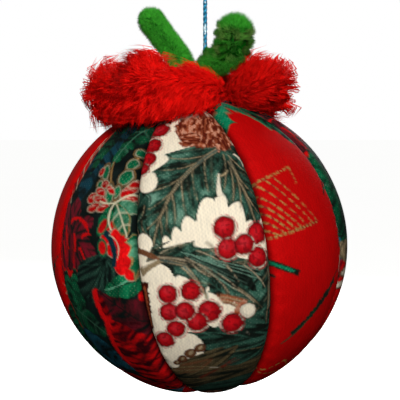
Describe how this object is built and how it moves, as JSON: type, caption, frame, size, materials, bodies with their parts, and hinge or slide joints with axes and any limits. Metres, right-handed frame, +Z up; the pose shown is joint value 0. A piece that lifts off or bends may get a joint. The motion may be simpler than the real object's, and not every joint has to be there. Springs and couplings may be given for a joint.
{
  "type": "fabric christmas ball",
  "caption": "Quilted cloth Christmas ball with printed gores between tucked seams, a red fur ruff, green chenille stems and a metallic hanging cord with a loop.",
  "frame": {"origin": "inside top of the hanging loop, where a hook holds the ball", "axes": "+Z up along the taut cord, -Y towards the front where the holly gore faces, +X to its right"},
  "size_m": [0.0778, 0.0776, 0.124],
  "materials": {
    "print_poinsettia": "dark printed cotton",
    "print_holly": "cream printed cotton",
    "print_red": "red printed cotton",
    "red_fur": "long pile fur",
    "green_chenille": "chenille pile",
    "metallic_cord": "twisted metallic yarn"
  },
  "bodies": {
    "root": {"gore_poinsettia_front": "print_poinsettia", "gore_holly_front": "print_holly", "gore_red_front": "print_red", "gore_poinsettia_right": "print_poinsettia", "gore_holly_right": "print_holly", "gore_red_back": "print_red", "gore_poinsettia_back": "print_poinsettia", "gore_holly_left": "print_holly", "gore_red_left": "print_red", "fur_ruff": "red_fur", "stem_straight": "green_chenille", "stem_curled": "green_chenille", "hanging_cord": "metallic_cord", "hanging_loop": "metallic_cord"}
  },
  "joints": []
}
